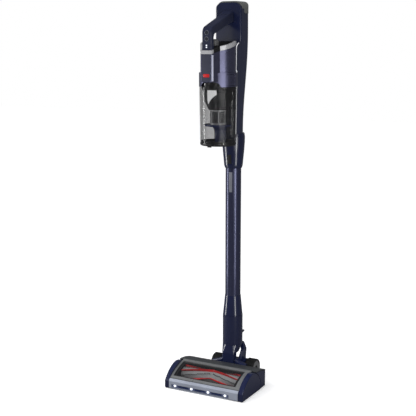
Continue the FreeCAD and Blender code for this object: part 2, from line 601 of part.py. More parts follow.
def battery_case():
    outer = loft(tower_sections(-0.9)).common(tower_crown(-0.9, 1120.0))
    cap = outer.common(battery_corner(0))
    lid = outer.common(box(-60, 60, 43, 90, 1099.0, 1121.0)).cut(tower_crown(-0.3, TOWER_HIGH + 0.3))
    case = box(-29, 29, 61, 87, 985, CAP_CUT_Z + 1)
    case = case.makeFillet(4.0, edges_where(case, lambda e: along(e, V(0, 0, 1))))
    shape = join(cap, lid, case)
    shape = shape.cut(box(-27, 27, 63, 85, 987, 1110))
    return shape.cut(box(-12.8, 12.8, 84, 90, 1052, 1074))


def battery_cells():
    return [rod_z(8.9, z, z + 45, x, 73.4) for x in (-18.0, 0, 18.0) for z in (988.5, 1034.5)]


def housing_outline(grown, z0, z1):
    """Plan shape: a round body with a flat-fronted nose and bevelled nose edges."""
    g = grown
    right = [(NOSE_HALF + g, NOSE_Y - g), (NOSE_HALF + 1.7 + g, NOSE_Y + 8.0), (27.0 + g, CUP_Y - 42.0),
             (27.0 + g, CUP_Y)]
    left = [(-x, y) for x, y in reversed(right)]
    nose = slab_xy(left[-1], right + left[:-1], z0, z1)
    return join(nose, rod_z(HOUSING_R + g, z0, z1, 0, CUP_Y))


def slope(z_front, rise, z_over=60.0):
    """Everything above a plane that climbs from the nose towards the back."""
    length = 160.0
    return slab_yz((NOSE_Y - 10, z_front - rise * 10), [(NOSE_Y + length, z_front + rise * length),
                                                        (NOSE_Y + length, z_front + z_over + rise * length),
                                                        (NOSE_Y - 10, z_front + z_over)], -90, 90)


def motor_housing():
    shape = housing_outline(0, 897.0, 1010.0).cut(slope(RIM_FRONT - 0.4, RIM_RISE))
    skirt = rod_z(SKIRT_R, CUP_SEAM + GAP, SKIRT_TOP, 0, CUP_Y)
    arch = slab_xz((-31.0, 880.0), [(-27.0, 891.5, -15.0, 896.2), (15.0, 896.2), (27.0, 891.5, 31.0, 880.0)],
                   -90, CUP_Y)
    shape = join(shape, skirt.cut(arch))
    inner = housing_outline(-SKIN, 899.5, 1010.0).cut(slope(RIM_FRONT - 3.0, RIM_RISE))
    shape = shape.cut(inner).cut(rod_z(HOUSING_R - 0.6, 870, 899.0, 0, CUP_Y))
    shape = shape.cut(tube_z(SKIRT_R + 5, HOUSING_R, SKIRT_TOP - 0.1, SKIRT_TOP + 0.5, 0, CUP_Y))
    shape = shape.cut(rod_z(34.0, 896, 903, 0, CUP_Y))
    shape = shape.cut(box(-14, 14, NOSE_Y - 1, NOSE_Y + 1.5, 899, 972))
    shape = shape.cut(box(34.2, 60, -60, -29.8, 886, 918)).cut(box(-60, 60, -20, 40, 1000.5, 1020))
    return shape.cut(rod_z(FILTER_R + 0.8, 950, 1010, 0, FILTER_Y))


def front_panel():
    return box(-13.7, 13.7, NOSE_Y + 0.1, NOSE_Y + 1.4, 899.3, 971.4)


def top_band():
    """Bright trim on the rim: a thin band round the nose and a taller arc on each flank."""
    nose = housing_outline(0.4, 960.0, 1000.0).cut(housing_outline(-1.0, 950.0, 1001.0))
    nose = nose.common(slope(RIM_FRONT, RIM_RISE, 7.0)).common(box(-60, 60, -110, NOSE_Y + 8.1, 900, 1100))
    ring = tube_z(HOUSING_R + 0.4, HOUSING_R - 3.6, 970.0, RIM_TOP, 0, CUP_Y)
    ring = ring.common(slope(RIM_FRONT, RIM_RISE)).cut(slope(985.6, RIM_RISE))
    right = ring.common(box(27.6, 60, -69.0, 1.6, 900, 1100))
    return nose, right, right.mirror(V(0, 0, 0), V(1, 0, 0))


def top_deck():
    """Black exhaust cover inside the rim, with a louvred block behind the handle's foot."""
    plate = housing_outline(-1.4, 960.0, 1020.0).cut(tube_z(60, HOUSING_R - 4.0, 950, 1030, 0, CUP_Y).common(
        box(-60, 60, -69.4, 2.0, 940, 1040)))
    plate = plate.common(slope(RIM_FRONT, RIM_RISE)).cut(slope(RIM_FRONT + 2.4, RIM_RISE))
    block = housing_outline(-2.0, 960.0, 1030.0).common(box(-60, 60, -85.6, -67.4, 900, 1100))
    block = block.common(slope(RIM_FRONT + 2.0, RIM_RISE)).cut(slope(RIM_FRONT + 13.0, RIM_RISE))
    block = block.cut(box(-HANDLE_HALF - 2.2, HANDLE_HALF + 2.2, -100, -77.2, 900, 1100))
    louvres = [box(-60, 60, -84.0 + 3.4 * k, -82.4 + 3.4 * k, 986, 1020) for k in range(5)]
    shape = join(plate, block.cut(Part.makeCompound(louvres)))
    slots = [box(-26 + k, 26 - k, -30.0 + 4.5 * k, -28.0 + 4.5 * k, 970, 1030) for k in range(8)]
    shape = shape.cut(Part.makeCompound(slots)).cut(rod_z(FILTER_R + 0.6, 950, 1030, 0, FILTER_Y))
    return shape.cut(box(-60, 60, -20, 40, RIM_TOP - 0.4, 1040))


def handle_shell():
    upper = slab_yz((-94.8, 990.0), [(-95.0, 1030.4), (-91.4, 1041.9, -81.8, 1049.2), (12.0, 1083.0),
                                     (12.0, 1056.0), (-66.0, 1030.0), (-75.6, 1025.2, -79.0, 1015.0),
                                     (-79.0, 990.0)], -HANDLE_HALF, HANDLE_HALF)
    upper = soften(upper, 4.0, lambda e: abs(abs(e.CenterOfMass.x) - HANDLE_HALF) < 0.01 and
                   e.BoundBox.YMin < 11.9 and e.BoundBox.ZMax > 990.5)
    foot = loft([round_rect(HANDLE_HALF + 0.9, -95.7, -77.6, 4.0, 974.0),
                 round_rect(HANDLE_HALF + 0.5, -95.4, -78.3, 4.0, 997.0)], True)
    foot = foot.common(slope(RIM_FRONT + 2.6, RIM_RISE))
    root = loft([turned_rect(HANDLE_HALF + 0.5, 1054.4, 1082.9, 4.8, 9.0),
                 turned_rect(HANDLE_HALF + 0.9, 1057.4, 1087.9, 6.0, 21.0),
                 turned_rect(HANDLE_HALF + 1.8, 1059.0, 1094.0, 8.0, 33.6)])
    shape = join(upper, foot, root)
    shape = shape.cut(box(-11.5, 11.5, -92.4, -82.0, 986, 1038.5))
    shape = shape.cut(grip_block(0.15))
    for z in BUTTON_Z:
        shape = shape.cut(rod_y(5.2, -98, -91, 0, z))
    return shape


def turned_rect(half_x, z0, z1, r, y):
    """A rounded rectangle in a plane across Y."""
    wire = round_rect(half_x, z0, z1, r, 0)
    wire.rotate(V(0, 0, 0), V(1, 0, 0), 90)
    wire.translate(V(0, y, 0))
    return wire


def grip_block(grown):
    """The grip insert under the arm, half sunk into it."""
    g = grown
    low, high = 1033.33, 1048.67
    return slab_yz((-56.0 - g, low - 1.4), [(-56.0 - g, low + 1.5 + g), (-10.0 + g, high + 1.5 + g),
                                            (-10.0 + g, high - 1.4)], -10 - g, 10 + g)


def button(z):
    return join(rod_y(4.9, -95.6, -91.6, 0, z), rod_y(6.6, -91.8, -90.4, 0, z))


def cyclone_body():
    """Top plate of the cup with a ring of small cyclone cones under it."""
    rim = join(rod_z(46.6, 878.0, 895.0, 0, CUP_Y), cone_z(40.0, 46.6, 866.4, 878.0, 0, CUP_Y))
    rim = rim.cut(join(rod_z(44.2, 878.0, 890.0, 0, CUP_Y), cone_z(37.6, 44.2, 866.3, 878.1, 0, CUP_Y)))
    rim = rim.cut(rod_z(14.0, 860, 900, 0, CUP_Y))
    cones, throats = [], []
    for k in range(8):
        a = radians(22.5 + 45 * k)
        x, y = 31 * cos(a), CUP_Y + 31 * sin(a)
        cones.append(cone_z(3.4, 8.0, 868.0, 891.0, x, y))
        throats.append(cone_z(2.0, 6.6, 867.9, 895.5, x, y))
    return join(rim, *cones).cut(Part.makeCompound(throats))


def cup():
    wall = cone_z(CUP_R_LOW, CUP_R_HIGH, CUP_LOW, CUP_SEAM, 0, CUP_Y)
    wall = wall.cut(cone_z(CUP_R_LOW - CUP_WALL, CUP_R_HIGH - CUP_WALL, CUP_LOW - 0.1, CUP_SEAM + 0.1, 0, CUP_Y))
    neck = tube_z(49.0, 47.0, CUP_SEAM - 2, 895.6, 0, CUP_Y)
    ring = tube_z(52.0, 47.0, CUP_SEAM - 2.2, CUP_SEAM, 0, CUP_Y)
    wall = join(wall, neck, ring).cut(rod_y(17.9, 0, 40, 0, 872.0))
    dome = join(cone_z(27.0, 40.0, 817.6, 845.0, 0, CUP_Y), rod_z(40.0, 844.9, 866.4, 0, CUP_Y))
    dome = dome.cut(cone_z(25.0, 38.0, 817.5, 845.1, 0, CUP_Y)).cut(rod_z(38.0, 844.8, 866.5, 0, CUP_Y))
    basket = tube_z(23.0, 21.6, 777.0, 817.6, 0, CUP_Y)
    chute = join(tube_z(17.0, 15.4, 726.0, 767.0, 0, -12.0), cone_z(17.0, 24.0, 760.0, 772.1, 0, -14.0).cut(
        cone_z(15.4, 22.4, 759.9, 772.2, 0, -14.0)))
    disc = join(rod_z(40.0, 772.0, 777.0, 0, CUP_Y), chute)
    disc = disc.cut(rod_z(14.0, 770, 780, 0, -12.0))
    deflector = slab_xz((-10.0, 874.0), [(16.0, 874.0), (17.0, 862.0), (2.0, 850.0, -8.0, 836.0), (-10.0, 848.0)],
                        -80, -40)
    curve = cone_z(46.2, 47.6, 830, 880, 0, CUP_Y).cut(cone_z(43.8, 45.2, 829.9, 880.1, 0, CUP_Y))
    save("cup_wall", wall)
    save("cyclone_body", cyclone_body())
    save("shroud", dome)
    save("mesh_basket", basket)
    save("basket_disc", disc)
    save("inlet_deflector", deflector.common(curve))


def dust_door():
    lid = rod_z(CUP_R_LOW, 717.4, 723.7, 0, CUP_Y)
    lid = join(soften(lid, 5.0, lambda e: e.BoundBox.ZMax < 718), tube_z(48.6, 46.6, 723.0, 731.0, 0, CUP_Y))
    knuckle = rod_x(3.2, -12, 12, CUP_Y + 53.8, 721.6)
    plate = box(-12, 12, CUP_Y + 46.0, CUP_Y + 53.8, 719.4, 723.7)
    return join(lid, knuckle, plate).cut(box(-6.4, 6.4, -80, -72.2, 716, 725)).cut(
        box(-60, 60, CUP_Y + 57.1, 60, 700, 740))


def hand_internals():
    save("suction_motor", join(rod_z(36.0, 908.0, 936.0, 0, CUP_Y), rod_z(27.0, 935.0, 958.0, 0, CUP_Y)).cut(
        rod_z(2.6, 900, 960, 0, CUP_Y)))
    vanes = []
    for k in range(9):
        blade = box(4, 30, -1.0, 1.0, 903.5, 907.0)
        blade.rotate(V(0, 0, 0), V(0, 0, 1), 40 * k)
        blade.translate(V(0, CUP_Y, 0))
        vanes.append(blade)
    hub = join(rod_z(31.0, 901.5, 903.6, 0, CUP_Y), rod_z(7.0, 901.5, 907.0, 0, CUP_Y),
               rod_z(2.5, 901.5, 957.0, 0, CUP_Y))
    save("fan_rotor", join(hub, *vanes))
    save("filter_pleats", tube_z(11.5, 6.0, 962.0, 989.0, 0, FILTER_Y))
    cap = join(rod_z(FILTER_R, 989.2, 1009.0, 0, FILTER_Y), cone_z(FILTER_R, 10.5, 1009.0, 1014.0, 0, FILTER_Y))
    grips = [rod_z(1.2, 988, 1009.1, (FILTER_R + 0.4) * cos(radians(a)), FILTER_Y + (FILTER_R + 0.4) * sin(radians(a)))
             for a in range(0, 360, 30)]
    save("filter_cap", cap.cut(Part.makeCompound(grips)))
    save("control_board", join(box(-22, 22, 42.0, 43.6, 925, 1060), box(-10, 4, 43.5, 47, 940, 955),
                               box(-6, 10, 43.5, 50, 990, 1008)))
    save("charge_socket", rod_y(8.0, 83.0, 89.2, 0, 905.0).cut(rod_y(2.75, 85.0, 95, 0, 905.0)))


def tower_collar():
    shape = stacked_cones(COLLAR_STEPS, 0.0)
    hollow = stacked_cones(COLLAR_STEPS[1:], SKIN).cut(rod_z(BORE_R + 2.4, 640, 750, 0, WAND_Y))
    hollow = hollow.cut(box(-10, 10, 30, 60, 652, 686)).cut(box(-60, 60, 0, 150, 640, 652)).cut(
        box(-60, 60, 0, 150, 741.5, 750))
    shape = shape.cut(hollow).cut(rod_z(BORE_R, 640, 737, 0, WAND_Y))
    shape = shape.cut(rod_z(15.6, 730, 746, 0, WAND_Y)).cut(rod_z(17.6, 740.0, 746, 0, WAND_Y))
    return shape.cut(box(-7.3, 7.3, 35, 51.4, 655.6, 682.4))


def stacked_cones(steps, inset):
    """A turned shape through (radius, height) pairs about the wand's axis."""
    parts = [cone_z(a[0] - inset, b[0] - inset, a[1], b[1], 0, WAND_Y) for a, b in zip(steps, steps[1:])]
    return join(parts[0], *parts[1:])


def small_moving():
    for name, z in zip(("power_button", "mode_button"), BUTTON_Z):
        save(name, button(z))
    ring = tube_z(SKIRT_R - 0.2, HOUSING_R + 0.6, 887.0, 917.0, 0, CUP_Y)
    ring = ring.common(box(36.6, 60, -59.4, -30.6, 880, 920))
    ribs = [tube_z(SKIRT_R + 0.5, SKIRT_R - 0.5, z, z + 1.6, 0, CUP_Y).common(
        box(40.0, 60, -55, -33, 880, 920)) for z in (890, 894, 898, 902, 906, 910)]
    save("cup_release_button", join(ring, *ribs))
    face = rod_z(28.8, 656.0, 682.0, 0, WAND_Y).cut(rod_z(26.0, 650, 690, 0, WAND_Y))
    save("wand_release_button", face.common(box(-6.9, 6.9, 35, 60, 656, 682)))
    save("battery_latch", box(-12.0, 12.0, 87.4, 91.4, 1054.4, 1071.6))
    save("door_latch", join(box(-6.0, 6.0, -79.2, -77.2, 715.4, 726.0).common(rod_z(54.0, 700, 740, 0, CUP_Y)),
                            box(-6.0, 6.0, -77.3, -72.6, 718.0, 720.6)))


def hand_unit():
    front, rear = tower()
    save("tower_front", front)
    save("tower_rear", rear)
    save("tower_collar", tower_collar())
    save("inlet_duct", inlet_path(17.0).cut(inlet_path(15.4)))
    save("battery_case", battery_case())
    save("battery_cells", *battery_cells())
    save("motor_housing", motor_housing())
    save("front_panel", front_panel())
    save("top_band", *top_band())
    save("top_deck", top_deck())
    save("handle_shell", handle_shell())
    save("grip_pad", grip_block(0.0))


head()
neck_and_wand()
hand_unit()
hand_internals()
cup()
save("dust_door", dust_door())
small_moving()
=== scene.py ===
import math
import random

import bmesh
import bpy
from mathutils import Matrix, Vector


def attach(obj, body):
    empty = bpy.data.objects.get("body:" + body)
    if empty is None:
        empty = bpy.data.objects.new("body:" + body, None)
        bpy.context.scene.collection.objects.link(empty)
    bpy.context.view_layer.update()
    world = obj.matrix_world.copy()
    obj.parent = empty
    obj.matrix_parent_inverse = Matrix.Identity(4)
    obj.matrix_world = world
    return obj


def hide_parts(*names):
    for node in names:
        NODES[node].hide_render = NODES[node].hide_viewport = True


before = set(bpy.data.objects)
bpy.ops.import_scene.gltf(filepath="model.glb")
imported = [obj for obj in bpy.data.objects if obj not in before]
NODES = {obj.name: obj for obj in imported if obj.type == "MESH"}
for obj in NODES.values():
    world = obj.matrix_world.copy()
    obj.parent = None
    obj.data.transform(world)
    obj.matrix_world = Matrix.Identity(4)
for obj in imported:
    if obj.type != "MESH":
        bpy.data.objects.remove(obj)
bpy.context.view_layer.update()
MM = 0.001
SHARP_EDGE = math.radians(38.0)

# Places on the vacuum, in millimetres.
WAND_Y = 72.0
WAND_R = 23.0
CUP_Y = -25.6
BRUSH_Y, BRUSH_Z = -52.0, 28.6
AXLE_Y, AXLE_Z = 92.0, 28.0
FILTER_Y = -52.0
NOSE_Y = -97.0
COLUMN_Y = -95.0
COLUMN_BEND_Z, COLUMN_BEND_R = 1030.4, 20.0
BADGE_Z = 915.0
POWER_KEY_Z, MODE_KEY_Z = 1031.3, 1014.4
STATUS_UPPER_Z, STATUS_LOWER_Z = 996.9, 991.6

NAVY = (0.009, 0.0135, 0.05)
WHITE = (1.0, 1.0, 1.0)

# The camera, and the lights as (name, place, target, (width, height), watts), in metres.
CAMERA_PLACE = (1.2379, -2.3944, 1.0116)
CAMERA_FORWARD = (-0.46537, 0.86756, -0.17537)
CAMERA_LENS, CAMERA_SENSOR = 81.65, 36.0
SKY_STRENGTH, SKY_SOFTNESS, SKY_TURN = 2.2, 70.0, (18.0, -14.0, 0.0)
FILL_COLOUR, FILL_STRENGTH = (0.93, 0.95, 1.0, 1.0), 0.13
AREA_LIGHTS = (
    ("left_strip", (-1.15, -0.42, 0.6), (0.0, 0.0, 0.6), (0.22, 1.3), 8.5),
    ("right_strip", (1.07, -0.62, 0.27), (0.0, 0.0, 0.27), (0.17, 0.62), 3.0),
    ("soft_panel", (1.05, -0.8, 0.7), (0.0, 0.0, 0.78), (1.0, 0.66), 5.0),
    ("nose_fill", (0.14, -0.66, 0.88), (0.0, 0.0, 0.93), (0.2, 0.26), 0.25),
    ("front_left", (-0.75, -1.04, 0.82), (0.0, 0.0, 0.85), (0.4, 0.5), 0.45),
)
FLOOR_HALF, FLOOR_Z = 9.0, -0.0004

# The wire basket, in millimetres, and how many sides its hoops have.
BASKET_LOW, BASKET_HIGH, BASKET_R = 777.3, 817.3, 22.3
BASKET_SIDES = 96

# Wheel hub outlines as (radius, distance from the vacuum's middle), in millimetres.
HUB_PROFILE = (
    (8.6, 68.6), (8.6, 70.6), (10.4, 71.0), (12.0, 70.4), (13.0, 70.3), (13.6, 70.9), (18.8, 71.0),
    (19.4, 70.3), (20.4, 70.3), (21.0, 70.9), (22.0, 70.7), (22.6, 70.1), (22.6, 69.2), (20.0, 69.05),
    (12.0, 69.05),
)
NUT_PROFILE = ((0.6, 68.2), (0.6, 70.2), (3.4, 70.0), (5.6, 69.4), (6.4, 68.2))

# Tufts on the brush: rows, tufts in half a row, twist of a row, and its halves as (sign, start, end).
TUFT_ROWS, TUFTS_PER_HALF, TUFT_TWIST, TUFT_START = 5, 22, 52.0, 123
TUFT_HALVES = ((-1, -95.0, -4.0), (1, 4.0, 93.0))


# ---- camera, light and floor ----
def link(obj):
    bpy.context.scene.collection.objects.link(obj)


def make_camera():
    data = bpy.data.cameras.new("camera")
    data.lens = CAMERA_LENS
    data.sensor_width = CAMERA_SENSOR
    data.clip_end = 50.0
    camera = bpy.data.objects.new("camera", data)
    link(camera)
    forward = Vector(CAMERA_FORWARD).normalized()
    camera.rotation_euler = forward.to_track_quat("-Z", "Y").to_euler()
    camera.location = CAMERA_PLACE
    bpy.context.scene.camera = camera


def camera_switch(tree, others, camera, target):
    """Camera rays see one shader, all other rays see the other."""
    path = tree.nodes.new("ShaderNodeLightPath")
    mix = tree.nodes.new("ShaderNodeMixShader")
    tree.links.new(path.outputs["Is Camera Ray"], mix.inputs[0])
    tree.links.new(others.outputs[0], mix.inputs[1])
    tree.links.new(camera.outputs[0], mix.inputs[2])
    tree.links.new(mix.outputs[0], target.inputs["Surface"])


def make_backdrop():
    """White behind the object, and a weak even fill that lights it."""
    world = bpy.data.worlds.new("studio")
    bpy.context.scene.world = world
    world.use_nodes = True
    tree = world.node_tree
    tree.nodes.clear()
    out = tree.nodes.new("ShaderNodeOutputWorld")
    seen = tree.nodes.new("ShaderNodeBackground")
    seen.inputs["Color"].default_value = (1.0, 1.0, 1.0, 1.0)
    fill = tree.nodes.new("ShaderNodeBackground")
    fill.inputs["Color"].default_value = FILL_COLOUR
    fill.inputs["Strength"].default_value = FILL_STRENGTH
    camera_switch(tree, fill, seen, out)


def make_sky():
    """Broad soft light from above, kept out of reflections."""
    data = bpy.data.lights.new("sky", "SUN")
    data.energy = SKY_STRENGTH
    data.angle = math.radians(SKY_SOFTNESS)
    sky = bpy.data.objects.new("sky", data)
    sky.rotation_euler = [math.radians(turn) for turn in SKY_TURN]
    link(sky)
    sky.visible_glossy = False


def area_light(name, place, target, size, power):
    data = bpy.data.lights.new(name, "AREA")
    data.shape = "RECTANGLE"
    data.size, data.size_y = size
    data.energy = power
    light = bpy.data.objects.new(name, data)
    light.location = place
    aim = Vector(target) - Vector(place)
    light.rotation_euler = aim.to_track_quat("-Z", "Y").to_euler()
    light.visible_camera = False
    link(light)


def make_studio():
    bpy.context.scene.view_settings.view_transform = "Standard"
    make_backdrop()
    make_sky()
    for light in AREA_LIGHTS:
        area_light(*light)


def make_floor():
    """Pale floor that the camera sees as bright and every other ray sees as dim."""
    bm = bmesh.new()
    bmesh.ops.create_grid(bm, x_segments=8, y_segments=8, size=FLOOR_HALF)
    mesh = bpy.data.meshes.new("floor")
    bm.to_mesh(mesh)
    bm.free()
    floor = bpy.data.objects.new("floor", mesh)
    floor.location = (0.0, 0.0, FLOOR_Z)
    link(floor)
    g = Graph("floor_white")
    tone = g.ramp(g.noise(3.0, 2.0), (0.86, 0.86, 0.865), (0.9, 0.9, 0.905))
    seen = g.shader(tone, 0.62, Emission_Color=WHITE, Emission_Strength=0.42)
    dim = g.add("BsdfDiffuse")
    dim.inputs["Color"].default_value = (0.16, 0.16, 0.17, 1.0)
    camera_switch(g.tree, dim, seen, g.out)
    mesh.materials.append(g.mat)


# ---- materials ----
class Graph:
    """A material's node tree, built from small pieces. Coordinates are metres on the object."""

    def __init__(self, name):
        self.mat = bpy.data.materials.new(name)
        self.mat.use_nodes = True
        self.tree = self.mat.node_tree
        self.tree.nodes.clear()
        self.out = self.add("OutputMaterial")
        self.place = self.add("TexCoord").outputs["Object"]

    def add(self, kind, **settings):
        node = self.tree.nodes.new("ShaderNode" + kind)
        for key, value in settings.items():
            setattr(node, key, value)
        return node

    def put(self, socket, value):
        if isinstance(value, bpy.types.NodeSocket):
            self.tree.links.new(value, socket)
        elif isinstance(value, (tuple, list)) and len(value) == 3 and socket.type == "RGBA":
            socket.default_value = (*value, 1.0)
        else:
            socket.default_value = value

    def math(self, operation, *values):
        node = self.add("Math", operation=operation)
        for socket, value in zip(node.inputs, values):
            self.put(socket, value)
        return node.outputs[0]

    def scaled(self, factors):
        node = self.add("Mapping")
        self.put(node.inputs["Vector"], self.place)
        node.inputs["Scale"].default_value = factors
        return node.outputs[0]

    def noise(self, scale, detail=2.0, stretch=None):
        node = self.add("TexNoise")
        self.put(node.inputs["Vector"], self.scaled(stretch) if stretch else self.place)
        node.inputs["Scale"].default_value = scale
        node.inputs["Detail"].default_value = detail
        return node.outputs["Fac"]

    def ramp(self, fac, low, high, start=0.3, end=0.7):
        node = self.add("ValToRGB")
        self.put(node.inputs[0], fac)
        for element, place, colour in zip(node.color_ramp.elements, (start, end), (low, high)):
            element.position = place
            element.color = (*colour, 1.0)
        return node.outputs[0]

    def span(self, fac, low, high, start=0.0, end=1.0):
        node = self.add("MapRange")
        limits = {"Value": fac, "From Min": start, "From Max": end, "To Min": low, "To Max": high}
        for key, value in limits.items():
            self.put(node.inputs[key], value)
        return node.outputs[0]

    def blend(self, fac, one, two):
        """Mixes two colours; the colour mix has its own numbered sockets on the node."""
        node = self.add("Mix", data_type="RGBA")
        self.put(node.inputs[0], fac)
        self.put(node.inputs[6], one)
        self.put(node.inputs[7], two)
        return node.outputs[2]

    def axes(self):
        node = self.add("SeparateXYZ")
        self.put(node.inputs[0], self.place)
        return node.outputs

    def rounded(self, radius):
        node = self.add("Bevel", samples=4)
        node.inputs["Radius"].default_value = radius
        return node.outputs[0]

    def edge_mask(self, radius):
        """One along convex and concave edges, zero on faces."""
        dot = self.add("VectorMath", operation="DOT_PRODUCT")
        self.put(dot.inputs[0], self.rounded(radius))
        self.put(dot.inputs[1], self.add("NewGeometry").outputs["Normal"])
        return self.span(dot.outputs["Value"], 1.0, 0.0, 0.86, 0.995)

    def bump(self, height, distance, normal=None):
        node = self.add("Bump")
        self.put(node.inputs["Height"], height)
        node.inputs["Distance"].default_value = distance
        if normal is not None:
            self.put(node.inputs["Normal"], normal)
        return node.outputs[0]

    def shader(self, colour, rough, **more):
        node = self.add("BsdfPrincipled")
        self.put(node.inputs["Base Color"], colour)
        self.put(node.inputs["Roughness"], rough)
        for key, value in more.items():
            self.put(node.inputs[key.replace("_", " ")], value)
        self.put(self.out.inputs["Surface"], node.outputs[0])
        return node


def dark(colour, factor):
    return tuple(channel * factor for channel in colour)


def plastic(name, base, rough, grain=2600.0, depth=0.00002, spread=0.1, round_off=0.0006, wear=0.12,
            worn=(0.4, 0.41, 0.45), **more):
    """Moulded plastic: fine grain, faint tone drift, handling marks in the gloss, lighter worn edges."""
    g = Graph(name)
    drift = g.noise(14.0, 3.0)
    tone = g.ramp(drift, dark(base, 1 - spread), dark(base, 1 + spread))
    smears = g.noise(46.0, 4.0, stretch=(1.0, 1.0, 0.35))
    fine = g.noise(grain, 2.0)
    edges = g.edge_mask(round_off)
    broken = g.math("MULTIPLY", edges, g.span(g.noise(210.0, 3.0), 0.15, 1.0, 0.35, 0.65))
    colour = g.blend(g.math("MULTIPLY", broken, wear), tone, worn)
    smeared = g.span(smears, rough * 0.86, rough * 1.22, 0.3, 0.7)
    gloss = g.math("ADD", smeared, g.span(fine, -0.02, 0.03))
    g.shader(colour, gloss, Normal=g.bump(fine, depth, normal=g.rounded(round_off)), **more)
    return g.mat


def drawn_metal(name, base, rough, along=(1.0, 1.0, 0.02), scale=900.0, metallic=1.0, **more):
    """Metal with fine lines along one axis."""
    g = Graph(name)
    lines = g.noise(scale, 3.0, stretch=along)
    cloud = g.noise(22.0, 3.0)
    tone = g.ramp(lines, dark(base, 0.86), dark(base, 1.12))
    colour = g.blend(g.span(cloud, 0.0, 0.5), tone, dark(base, 0.92))
    brushed = g.span(lines, rough * 0.8, rough * 1.25, 0.3, 0.7)
    gloss = g.math("ADD", brushed, g.span(cloud, -0.03, 0.03))
    relief = g.bump(lines, 0.000012, normal=g.rounded(0.0004))
    g.shader(colour, gloss, Metallic=metallic, Normal=relief, **more)
    return g.mat


def flake_paint(name, base, rough, metallic=0.55, **more):
    """Metallic paint: tiny flakes under a clear coat."""
    g = Graph(name)
    cells = g.add("TexVoronoi")
    g.put(cells.inputs["Vector"], g.place)
    cells.inputs["Scale"].default_value = 2300.0
    sparkle = g.add("SeparateColor")
    g.put(sparkle.inputs[0], cells.outputs["Color"])
    drift = g.noise(12.0, 3.0)
    tone = g.ramp(drift, dark(base, 0.94), dark(base, 1.06))
    colour = g.blend(g.span(sparkle.outputs[0], 0.0, 0.35), tone, dark(base, 1.5))
    edges = g.math("MULTIPLY", g.edge_mask(0.0006), 0.25)
    colour = g.blend(edges, colour, dark(base, 2.0))
    gloss = g.span(g.noise(60.0, 3.0), rough * 0.85, rough * 1.2, 0.3, 0.7)
    relief = g.bump(sparkle.outputs[1], 0.000002, normal=g.rounded(0.0006))
    g.shader(colour, gloss, Metallic=metallic, Normal=relief, **more)
    return g.mat


def clear_plastic(name, base, body, rim, rough=0.045):
    """Smoke-tinted wall: see-through when faced, denser where it turns away, finely scratched."""
    g = Graph(name)
    facing = g.add("LayerWeight")
    facing.inputs["Blend"].default_value = 0.36
    haze = g.noise(30.0, 4.0)
    scratches = g.noise(420.0, 2.0, stretch=(1.0, 1.0, 0.06))
    turned_away = g.span(facing.outputs["Facing"], body, rim)
    cover = g.math("ADD", turned_away, g.span(haze, -0.015, 0.02))
    tone = g.ramp(haze, dark(base, 0.93), dark(base, 1.07))
    gloss = g.span(scratches, rough * 0.7, rough * 1.9, 0.35, 0.75)
    g.shader(tone, gloss, Alpha=cover, Normal=g.bump(haze, 0.000006))
    return g.mat


def rubber(name, base, rough=0.62, **more):
    """Soft matte surface with a speckle and uneven dust."""
    g = Graph(name)
    speckle = g.noise(3800.0, 2.0)
    dust = g.noise(70.0, 5.0)
    tone = g.ramp(dust, dark(base, 0.85), dark(base, 1.25))
    gloss = g.span(dust, rough * 0.9, rough * 1.15, 0.3, 0.7)
    g.shader(tone, gloss, Normal=g.bump(speckle, 0.00004, normal=g.rounded(0.0004)), **more)
    return g.mat


def lamp_strip(name):
    """Dark blue strip with four bright round lamps, which sit at a pitch of 55 mm."""
    pitch, first_lamp, lamp_height = 0.055, 0.095, 0.0108
    half_pitch = 0.0275
    lamp_colour = (0.88, 0.92, 1.0)
    g = Graph(name)
    x, _, z = g.axes()
    from_first = g.math("ADD", x, first_lamp + half_pitch + 2 * pitch)
    along = g.math("SUBTRACT", g.math("MODULO", from_first, pitch), half_pitch)
    up = g.math("SUBTRACT", z, lamp_height)
    squares = g.math("ADD", g.math("MULTIPLY", along, along), g.math("MULTIPLY", up, up))
    reach = g.math("SQRT", squares)
    lamp = g.span(reach, 1.0, 0.0, 0.0028, 0.0042)
    glow = g.span(reach, 1.0, 0.0, 0.003, 0.013)
    drift = g.noise(60.0, 3.0)
    blue = g.ramp(drift, (0.03, 0.045, 0.13), (0.045, 0.065, 0.18))
    haloed = g.blend(g.math("MULTIPLY", glow, 0.5), blue, (0.35, 0.42, 0.7))
    colour = g.blend(lamp, haloed, (0.9, 0.93, 1.0))
    light = g.math("ADD", g.math("MULTIPLY", lamp, 1.6), g.math("MULTIPLY", glow, 0.05))
    relief = g.bump(g.noise(900.0), 0.00003)
    g.shader(colour, g.span(drift, 0.18, 0.3), Emission_Color=lamp_colour, Emission_Strength=light,
             Normal=relief)
    return g.mat


def glowing(name, base, strength):
    """Small lit lens."""
    g = Graph(name)
    tone = g.ramp(g.noise(500.0), dark(base, 0.9), base)
    g.shader(tone, 0.3, Emission_Color=base, Emission_Strength=strength)
    return g.mat


